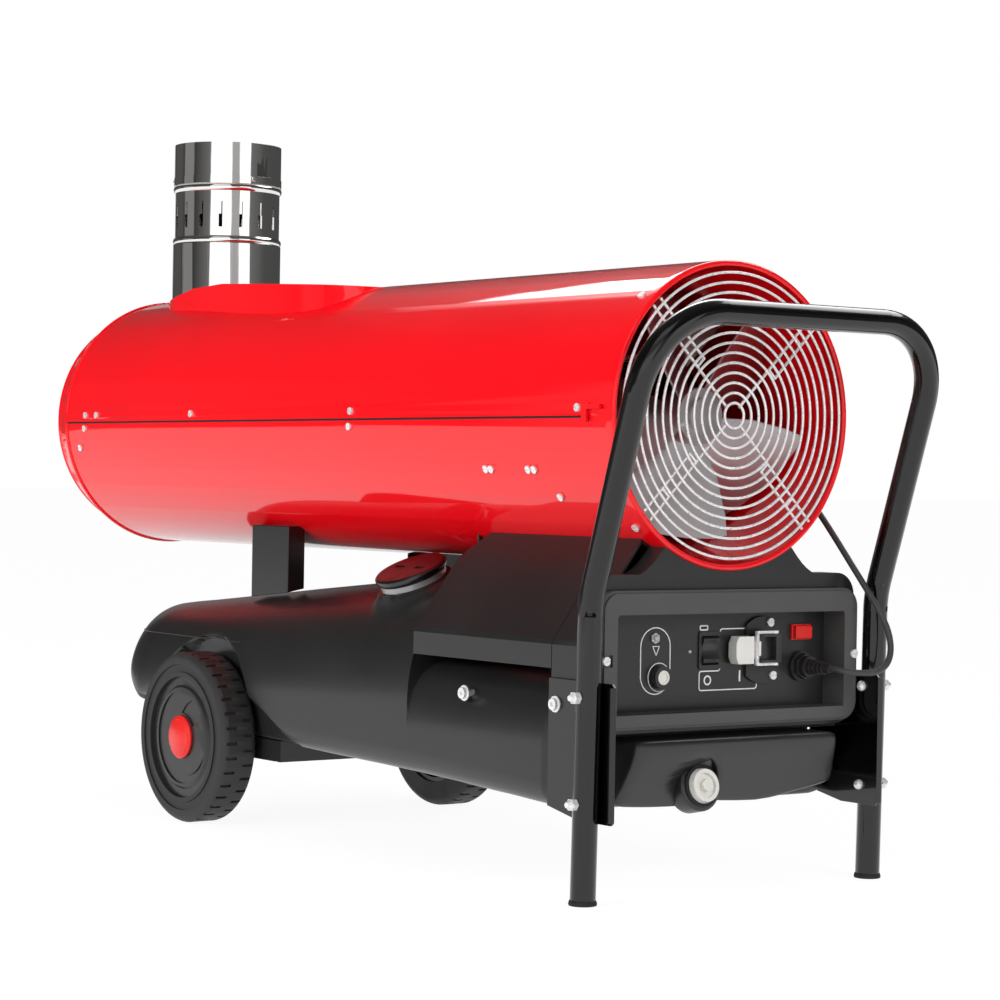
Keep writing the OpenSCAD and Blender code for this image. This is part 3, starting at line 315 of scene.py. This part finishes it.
edge_widths = {
    "console_housing": 0.0012, "side_cover_left": 0.0012, "side_cover_right": 0.0012,
    "panel_bezel": 0.0012, "post_left": 0.0015, "post_right": 0.0015, "leg_plate_left": 0.0005,
    "leg_plate_right": 0.0005, "filler_cap": 0.0008, "tyre_left": 0.0008, "tyre_right": 0.0008,
    "rim_left": 0.0006, "rim_right": 0.0006, "hubcap_left": 0.0006, "hubcap_right": 0.0006,
    "upper_shell": 0.0003, "lower_shell": 0.0003, "outlet_ring": 0, "inlet_ring": 0, "fan_guard": 0,
    "fan": 0.0004, "handle_frame": 0, "foot_caps": 0.0004, "flue_lower": 0.0003, "flue_upper": 0.0003,
    "flue_sleeve": 0.0002, "flue_inner": 0, "flue_saddle": 0.0006, "drain_plug": 0.0005, "drain_seal": 0.0004,
    "frame_bolts": 0.0004, "tank_screws": 0.0004, "shell_screws": 0.0003, "panel_screws": 0.0003,
    "control_panel": 0.0004, "switch_frame": 0.0004, "rocker_switch": 0.0004, "reset_button": 0.0004,
    "status_leds": 0.0002, "thermostat_socket": 0.0005, "socket_plug": 0.0006, "lock_lever": 0.0004,
    "red_lamp": 0.0005, "cable_gland": 0.0004, "mains_plug": 0.0006, "cord_clips": 0.0003,
    "filler_neck": 0.0004, "cap_gasket": 0.0003, "axle": 0.0004, "axle_carrier": 0.0008,
}
made = {node: rounded(node, width) for node, width in edge_widths.items()}


# fuel tank
def soft_max(a, b, width):
    """The greater of two distances, raised by a parabola where they are closer than width."""
    h = np.maximum(width - np.abs(a - b), 0) / width
    return np.maximum(a, b) + h * h * width / 4


TANK_HALF_WIDTH = 194
TAIL_ROOF_X = -1033
TAIL_ROOF_R = 50
TAIL_SIDE_X = -978
TAIL_SIDE_R = 105
BAY_X = -815
BAY_R = 128
AXLE_Z = 110
INNER_X = -700
DRAIN_AT = [9, -50, 118]
DRAIN_AXIS = [math.sin(math.radians(78)), 0, math.cos(math.radians(78))]
CAP_AT = [-443, -120, 330]
CAP_AXIS = [0, -math.sin(math.radians(24)), math.cos(math.radians(24))]


def from_axis(x, y, z, at, axis):
    """How far points lie along an axis from its start, and how far off it."""
    dx, dy, dz = x - at[0], y - at[1], z - at[2]
    along = dx * axis[0] + dy * axis[1] + dz * axis[2]
    return along, np.sqrt(np.maximum(dx * dx + dy * dy + dz * dz - along * along, 0))


def bay_edge(x):
    """The height of a wheel bay's edge: the higher of the round arch and the straight lines beside it."""
    round_arch = AXLE_Z + np.sqrt(np.maximum(BAY_R ** 2 - (x - BAY_X) ** 2, 0))
    lines = np.interp(x, [-1010, -985, -815, -712, -590], [90, 150, 180, 172, 113])
    return np.where(np.abs(x - BAY_X) < BAY_R, np.maximum(round_arch, lines), lines)


def tank_depth(x, y, z):
    """How far points lie outside the moulded tank, in mm: below zero is inside. The form is what lies
    under the roof line, the crown and the two shoulders, over the floor line and between the sides,
    less the wheel bays, the round pockets for the legs, the seats of the leg plates and the front's wave,
    with a cone under the filler cap and its round seat."""
    side = np.abs(y)
    roof = np.interp(x, [-1033, -1014, -835, -738, -560, -420, -345.2, -344.8, -78.2, -77.8, 22],
                     [283, 284, 301, 311, 327, 335, 336, 238, 238, 172, 172])
    floor = np.interp(x, [-1083, -1078, -1050, -1020, -990, -960, -920, -880, -590, -330, -40, -6, 22],
                      [230, 212, 184, 160, 142, 129, 121, 118, 113, 106, 92, 96, 160])
    tail_roof = 233 + np.sqrt(np.maximum(TAIL_ROOF_R ** 2 - (x - TAIL_ROOF_X) ** 2, 0))
    roof = np.where(x < TAIL_ROOF_X, tail_roof, roof)
    crown = 306 + (x + 789) * 0.0998 - (542 - np.sqrt(542 ** 2 - np.minimum(side, 300) ** 2)) * 1.005
    shoulder_z = 250 + (x + 377) * 0.0279
    shoulder = (side - 134) * math.cos(math.radians(50)) + (z - shoulder_z) * math.sin(math.radians(50)) - 60
    tail_core = TANK_HALF_WIDTH - TAIL_SIDE_R
    tail_wide = tail_core + np.sqrt(np.maximum(TAIL_SIDE_R ** 2 - (x - TAIL_SIDE_X) ** 2, 0))
    wide = np.where(x > TAIL_SIDE_X, TANK_HALF_WIDTH, tail_wide)
    out = soft_max(z - roof, z - crown, 24)
    out = soft_max(out, shoulder, 60)
    tail_share = np.where(x > TAIL_SIDE_X, 1, np.clip((wide - tail_core) / TAIL_SIDE_R, 0.3, 1))
    out = soft_max(out, (side - wide) * tail_share, 70)
    out = soft_max(out, floor - z, 26)
    arch = np.where(np.abs(x + 800) < 210, bay_edge(x), 0)
    out = soft_max(out, np.minimum(side - 168, arch - z), 9)
    out = soft_max(out, 70 - np.hypot(x - 35, side - 215), 7)
    out = soft_max(out, np.minimum(side - 191, x + 80), 2)
    wave = np.interp(y, [-194, -171, -150, -100, -71, -42, -11, 20, 46, 69, 95, 116, 146, 194],
                     [106, 105, 99, 93, 90, 92, 98.3, 95, 93, 96.5, 102, 105.4, 111, 118])
    out = soft_max(out, np.minimum(wave - z, (x + 45) * 0.7), 8)
    along, off = from_axis(x, y, z, DRAIN_AT, DRAIN_AXIS)
    out = soft_max(out, np.minimum(31 - off, along + 6), 8)
    along, off = from_axis(x, y, z, CAP_AT, CAP_AXIS)
    cone = np.maximum(np.maximum(off - 66 + (along + 42) * 20 / 38, along + 4), -60 - along)
    out = -soft_max(-out, -cone, 10)
    return soft_max(out, np.minimum(42 - off, along + 4), 3)


def tank_skin(x, turn, middle):
    """The distance from the line of middles, at each x and turn, of the outermost point inside the tank:
    the last of a row of samples that is inside, moved outwards by halving."""
    reach = np.linspace(2, 330, 110)[:, None, None]
    inside = tank_depth(x, reach * np.cos(turn), middle + reach * np.sin(turn)) < 0
    last = np.where(inside.any(0), inside.shape[0] - 1 - np.argmax(inside[::-1], 0), 0)
    low = reach[:, 0, 0][last]
    high = low + 3.01
    for _ in range(11):
        half = (low + high) / 2
        under = tank_depth(x, half * np.cos(turn), middle + half * np.sin(turn)) < 0
        low, high = np.where(under, half, low), np.where(under, high, half)
    return low


def tank_turns(x, middle):
    """The directions of the ring points at each x: even steps below and above the wheel bay's edge on one
    side, with a narrow step over the edge itself, and the same mirrored on the other side."""
    edge = np.arctan2(bay_edge(x) - middle, 189)
    below, above = np.linspace(0, 1, 58)[None, :], np.linspace(0, 1, 90)[None, :]
    one_side = np.hstack([-math.pi / 2 + (edge - 0.002 + math.pi / 2) * below,
                          edge + 0.002 + (math.pi / 2 - edge - 0.002) * above])
    return np.hstack([one_side, math.pi - one_side[:, -2:0:-1]])


def fuel_tank_form():
    """Rings round the tank, one at each x: the radius of each ring point is the tank's skin."""
    x = np.concatenate([-1083 + 60 * np.linspace(0.02, 1, 30) ** 2, np.arange(-1020, -348, 4.0),
                        [-346, -345.3, -344.7, -343], np.arange(-340, -82, 4.0), [-79, -78.3, -77.7, -76],
                        np.arange(-74, -9, 2.5), np.arange(-8, 21.6, 0.9), [21.8]])[:, None]
    middle = np.interp(x, [-1083, -1050, -1010, -950, -400, -78, -6, 22],
                       [233, 228, 205, 172, 165, 142, 136, 166])
    turn = tank_turns(x, middle)
    r = tank_skin(x, turn, middle)
    points = np.stack(np.broadcast_arrays(x, r * np.cos(turn), middle + r * np.sin(turn)), -1)
    return grid("tank_form", metres(points), caps=True)


def closed_outwards(mesh):
    """The mesh with its doubles merged and its faces turned outwards."""
    work = bmesh.new()
    work.from_mesh(mesh)
    bmesh.ops.remove_doubles(work, verts=work.verts, dist=0.00001)
    bmesh.ops.recalc_face_normals(work, faces=work.faces)
    work.to_mesh(mesh)
    work.free()
    return mesh


def revolved(name, profile, place, axis, sides=72):
    """A profile of (radius, distance along the axis) points in mm, turned about the axis at the place."""
    axis = np.asarray(axis, float) / np.linalg.norm(axis)
    across = np.cross(axis, [0.0, 1.0, 0.0])
    across /= np.linalg.norm(across)
    other = np.cross(axis, across)
    a = np.linspace(0, 2 * math.pi, sides, endpoint=False)[None, :, None]
    r, along = np.asarray(profile, float).T[:, :, None, None]
    points = np.asarray(place, float) + along * axis + r * (np.cos(a) * across + np.sin(a) * other)
    return grid(name, metres(points))


tank = put("tank_made", closed_outwards(fuel_tank_form()), "frame", moulded, 50)
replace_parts(tank, "fuel_tank")
drain_profile = [[0.01, -19], [27.5, -19], [27.5, 1.5], [27, 3], [25.5, 4], [12, 4], [12, -10], [0.01, -10]]
put("drain_boss", closed_outwards(revolved("drain_boss", drain_profile, DRAIN_AT, DRAIN_AXIS)),
    "frame", moulded, 40)


def parting_line(height):
    """The tank's outline at one height, as seen from a point inside it: on each ray towards the tail and
    the sides, the last sample that is inside, moved outwards by halving."""
    turn = np.radians(np.linspace(-78, 78, 260))
    reach = np.linspace(60, 900, 420)[:, None]

    def inside(r):
        return tank_depth(INNER_X - r * np.cos(turn), r * np.sin(turn), np.full_like(turn, height)) < 0

    low = reach[:, 0][reach.shape[0] - 1 - np.argmax(inside(reach)[::-1], 0)]
    high = low + 2.01
    for _ in range(10):
        half = (low + high) / 2
        within = inside(half)
        low, high = np.where(within, half, low), np.where(within, high, half)
    return np.stack([INNER_X - low * np.cos(turn), low * np.sin(turn), np.full_like(turn, height)], -1)


put("tank_parting_line", tube("tank_parting_line", metres(parting_line(236)), 0.0009, 8), "frame", moulded)


# rolled edge of the barrel, where the outlet ring starts
bead_turn = np.linspace(0, 2 * math.pi, 15)
bead_profile = np.stack([BARREL_R - 0.4 + 2.8 * np.cos(bead_turn), 1238.5 + 2.8 * np.sin(bead_turn)], -1)
bead = revolved("barrel_end_bead", bead_profile, [0, 0, BARREL_Z], [-1, 0, 0], 160)
put("barrel_end_bead", closed_outwards(bead), "frame", enamel)


# painted shade: a thin dark tube along each side of the barrel, under the edge of the upper half, standing in
# for the shadow line under the overlap
def painted_seam_shade(name, side, drop=5.2):
    """A thin round dark tube along the barrel, 0.2 mm proud of it, at a drop below its middle: painted shade
    where the upper half's edge casts its shadow.
    """
    x = np.linspace(-1234, -42, 40)
    across = side * math.sqrt((BARREL_R + 0.2) ** 2 - drop ** 2)
    path = np.stack([x, np.full_like(x, across), np.full_like(x, BARREL_Z - drop)], -1)
    # the dark rubber finish on this tube is painted shade, not the colour of a real seal
    put(name, tube(name, metres(path), 0.0013, 10), "frame", rubber)


painted_seam_shade("seam_shade_left", -1)
painted_seam_shade("seam_shade_right", 1)


# printed marks on the panel
def printed_line(name, line, width, closed=True):
    """A flat band of the width along a line of (y, z) points, 0.2 mm proud of the panel."""
    p = np.asarray(line, float)
    if closed:
        ahead = np.roll(p, -1, 0) - np.roll(p, 1, 0)
    else:
        ahead = np.gradient(p, axis=0)
    ahead /= np.linalg.norm(ahead, axis=1)[:, None]
    side = np.stack([-ahead[:, 1], ahead[:, 0]], -1) * width / 2
    corners = np.stack([p + side, p + side, p - side, p - side], 1)
    depth = np.array([PANEL_FACE_X - 0.3, PANEL_FACE_X, PANEL_FACE_X, PANEL_FACE_X - 0.3])[None, :, None]
    points = np.concatenate([np.broadcast_to(depth, corners.shape[:2] + (1,)), corners], -1)
    mesh = grid(name, metres(points), closed_rows=closed, caps=not closed)
    work = bmesh.new()
    work.from_mesh(mesh)
    bmesh.ops.recalc_face_normals(work, faces=work.faces)
    work.to_mesh(mesh)
    work.free()
    return put(name, mesh, "frame", print_white)


def round_corners(corners, radius, steps=6):
    """The outline through the corners, each one cut by an arc that touches both sides."""
    c = np.asarray(corners, float)
    before, after = np.roll(c, 1, 0) - c, np.roll(c, -1, 0) - c
    before /= np.linalg.norm(before, axis=1)[:, None]
    after /= np.linalg.norm(after, axis=1)[:, None]
    t = np.linspace(0, 1, steps)[None, :, None]
    start, end = c + radius * before, c + radius * after
    arc = (1 - t) ** 2 * start[:, None] + 2 * t * (1 - t) * c[:, None] + t ** 2 * end[:, None]
    return arc.reshape(-1, 2)


def stadium(y, z, half_width, half_height, steps=24):
    """The outline of two half circles joined by straight sides."""
    a = np.linspace(0, 2 * math.pi, 2 * steps, endpoint=False)
    straight = half_height - half_width
    rise = half_width * np.sin(a) + straight * np.sign(np.sin(a))
    return np.stack([y + half_width * np.cos(a), z + rise], -1)


printed_line("reset_outline", stadium(-84.5, 254, 21, 36.5), 1.2)
printed_line("reset_warning", round_corners([[-88.5, 270], [-79, 270], [-83.5, 260]], 0.8), 0.9)
printed_line("reset_ring", stadium(-79, 236, 15.5, 15.6), 0.9)
printed_line("switch_loop", round_corners([
    [9, 287.5], [58, 287.5], [58, 283], [64, 250], [64, 219.5], [-21, 219.5], [-21, 240.8], [9, 240.8]],
    3.5), 1.3)
printed_line("mark_on", round_corners([
    [-20.5, 286.8], [-20.5, 291.4], [-9.5, 291.4], [-9.5, 286.8]], 1.5), 1.6)
printed_line("mark_off", stadium(-8.8, 230.6, 4.6, 4.7, 12), 1.8)
printed_line("mark_heat", [[38.8, 240.6], [38.6, 236], [38.6, 231], [38.8, 228]], 2.2, closed=False)


# floor, world and lamps
def lay_floor():
    """A pale floor that keeps the shadow and otherwise shows white."""
    size = 60
    mesh = bpy.data.meshes.new("studio_floor")
    corners = [(-size, -size, 0), (size, -size, 0), (size, size, 0), (-size, size, 0)]
    mesh.from_pydata(corners, [], [(0, 1, 2, 3)])
    floor = bpy.data.objects.new("studio_floor", mesh)
    scene.collection.objects.link(floor)
    floor.location.z = -0.0005
    material = bpy.data.materials.new("studio_floor")
    material.use_nodes = True
    tree = material.node_tree
    tree.nodes.clear()
    out = tree.nodes.new("ShaderNodeOutputMaterial")
    mix = tree.nodes.new("ShaderNodeMixShader")
    paper = tree.nodes.new("ShaderNodeBsdfDiffuse")
    paper.inputs["Color"].default_value = (0.9, 0.9, 0.9, 1)
    glow = tree.nodes.new("ShaderNodeEmission")
    glow.inputs["Strength"].default_value = 1.1
    path = tree.nodes.new("ShaderNodeLightPath")
    seen = tree.nodes.new("ShaderNodeMath")
    seen.operation = "MAXIMUM"
    tree.links.new(path.outputs["Is Camera Ray"], seen.inputs[0])
    tree.links.new(path.outputs["Is Glossy Ray"], seen.inputs[1])
    share = tree.nodes.new("ShaderNodeMath")
    share.operation = "MULTIPLY"
    share.inputs[1].default_value = 0.84
    tree.links.new(seen.outputs[0], share.inputs[0])
    tree.links.new(share.outputs[0], mix.inputs["Fac"])
    tree.links.new(paper.outputs[0], mix.inputs[1])
    tree.links.new(glow.outputs[0], mix.inputs[2])
    tree.links.new(mix.outputs[0], out.inputs["Surface"])
    mesh.materials.append(material)


def light_world(level):
    """White where the camera, gloss or glass looks past everything, and level as light on the object."""
    world = bpy.data.worlds.new("studio_world")
    scene.world = world
    world.use_nodes = True
    tree = world.node_tree
    back = tree.nodes["Background"]
    back.inputs["Color"].default_value = (1, 1, 1, 1)
    path = tree.nodes.new("ShaderNodeLightPath")
    most = path.outputs["Is Camera Ray"]
    for kind in ("Is Glossy Ray", "Is Transmission Ray"):
        node = tree.nodes.new("ShaderNodeMath")
        node.operation = "MAXIMUM"
        tree.links.new(most, node.inputs[0])
        tree.links.new(path.outputs[kind], node.inputs[1])
        most = node.outputs[0]
    strength = tree.nodes.new("ShaderNodeMapRange")
    strength.inputs["To Min"].default_value = level
    strength.inputs["To Max"].default_value = 1.0
    tree.links.new(most, strength.inputs["Value"])
    tree.links.new(strength.outputs[0], back.inputs["Strength"])


def glossy_only(name, mesh, radiance):
    """A glowing card that only mirror-like surfaces see."""
    card = bpy.data.objects.new(name, mesh)
    scene.collection.objects.link(card)
    card.visible_camera = card.visible_diffuse = card.visible_transmission = False
    card.visible_shadow = card.visible_volume_scatter = False
    material = bpy.data.materials.new(name)
    material.use_nodes = True
    tree = material.node_tree
    tree.nodes.clear()
    glow = tree.nodes.new("ShaderNodeEmission")
    glow.inputs["Strength"].default_value = radiance
    out = tree.nodes.new("ShaderNodeOutputMaterial")
    tree.links.new(glow.outputs[0], out.inputs["Surface"])
    mesh.materials.append(material)
    return tree, glow


def hang_cards(name, low, high, radiance, levels):
    """A ring of white and dark cards between two heights: the brightness changes with the azimuth."""
    radius, sides = 8, 96
    a = np.linspace(0, 2 * math.pi, sides, endpoint=False)
    ring = np.stack([radius * np.cos(a), radius * np.sin(a)], -1)
    points = np.stack([np.column_stack([ring, np.full(sides, z)]) for z in (low, high)])
    tree, glow = glossy_only(name, grid(name, points), radiance)
    place = tree.nodes.new("ShaderNodeTexCoord")
    split = tree.nodes.new("ShaderNodeSeparateXYZ")
    turn = tree.nodes.new("ShaderNodeMath")
    turn.operation = "ARCTAN2"
    share = tree.nodes.new("ShaderNodeMapRange")
    share.inputs["From Min"].default_value = -math.pi
    share.inputs["From Max"].default_value = math.pi
    ramp = tree.nodes.new("ShaderNodeValToRGB")
    tree.links.new(place.outputs["Object"], split.inputs[0])
    tree.links.new(split.outputs["Y"], turn.inputs[0])
    tree.links.new(split.outputs["X"], turn.inputs[1])
    tree.links.new(turn.outputs[0], share.inputs["Value"])
    tree.links.new(share.outputs[0], ramp.inputs["Fac"])
    tree.links.new(ramp.outputs["Color"], glow.inputs["Color"])
    stops = ramp.color_ramp.elements
    while len(stops) < len(levels):
        stops.new(0.5)
    for stop, (azimuth, level) in zip(stops, levels):
        stop.position = (azimuth + 180) / 360
        stop.color = (level, level, level, 1)


def hang_ceiling(height, radiance):
    """A round card that closes the ring of cards from above."""
    radius, sides = 8.2, 48
    a = np.linspace(0, 2 * math.pi, sides, endpoint=False)
    rim = np.column_stack([radius * np.cos(a), radius * np.sin(a), np.full(sides, height)])
    mesh = bpy.data.meshes.new("studio_ceiling")
    mesh.from_pydata(rim, [], [list(range(sides))])
    glossy_only("studio_ceiling", mesh, radiance)


def hang_lamp(name, place, aim, width, height, power):
    """A soft rectangular lamp turned to its aim, which gloss doesn't show."""
    data = bpy.data.lights.new(name, "AREA")
    data.shape = "RECTANGLE"
    data.size, data.size_y = width, height
    data.energy = power
    lamp = bpy.data.objects.new(name, data)
    scene.collection.objects.link(lamp)
    lamp.location = place
    lamp.rotation_euler = (Vector(aim) - Vector(place)).to_track_quat("-Z", "Y").to_euler()
    lamp.visible_glossy = False


lay_floor()
light_world(0.42)
hang_cards("studio_low_cards", 0.0, 2.9, 1.3, [
    (-180, 0.06), (-150, 0.06), (-141, 0.03), (-140, 0.17), (-113, 0.17), (-112, 0.03), (-72, 0.12),
    (-71, 1.0), (-24, 1.0), (-23, 0.3), (-6, 0.3), (-5, 1.0), (20, 1.0), (21, 0.12), (60, 0.06), (148, 0.05),
    (150, 0.3), (168, 0.3), (170, 0.04)])
hang_cards("studio_high_cards", 6.0, 12.0, 7.0, [
    (-180, 0.01), (-72, 0.01), (-70, 0.15), (-26, 0.15), (-24, 0.01), (60, 0.01), (66, 0.5), (120, 0.7),
    (145, 1.0), (160, 1.0), (172, 0.01)])
hang_cards("studio_middle_cards", 2.9, 6.0, 1.0, [
    (-180, 0.05), (-72, 0.05), (-70, 0.5), (-26, 0.5), (-24, 0.05), (60, 0.05), (172, 0.05)])
hang_ceiling(12.0, 0.12)
hang_lamp("key_lamp", (0.2, -4.6, 1.3), (0, 0, 0.55), 3.4, 1.4, 165)
hang_lamp("fan_side_lamp", (4.6, 0.4, 1.9), (0.4, 0, 0.4), 2.0, 1.6, 80)

scene.view_settings.view_transform = "Standard"
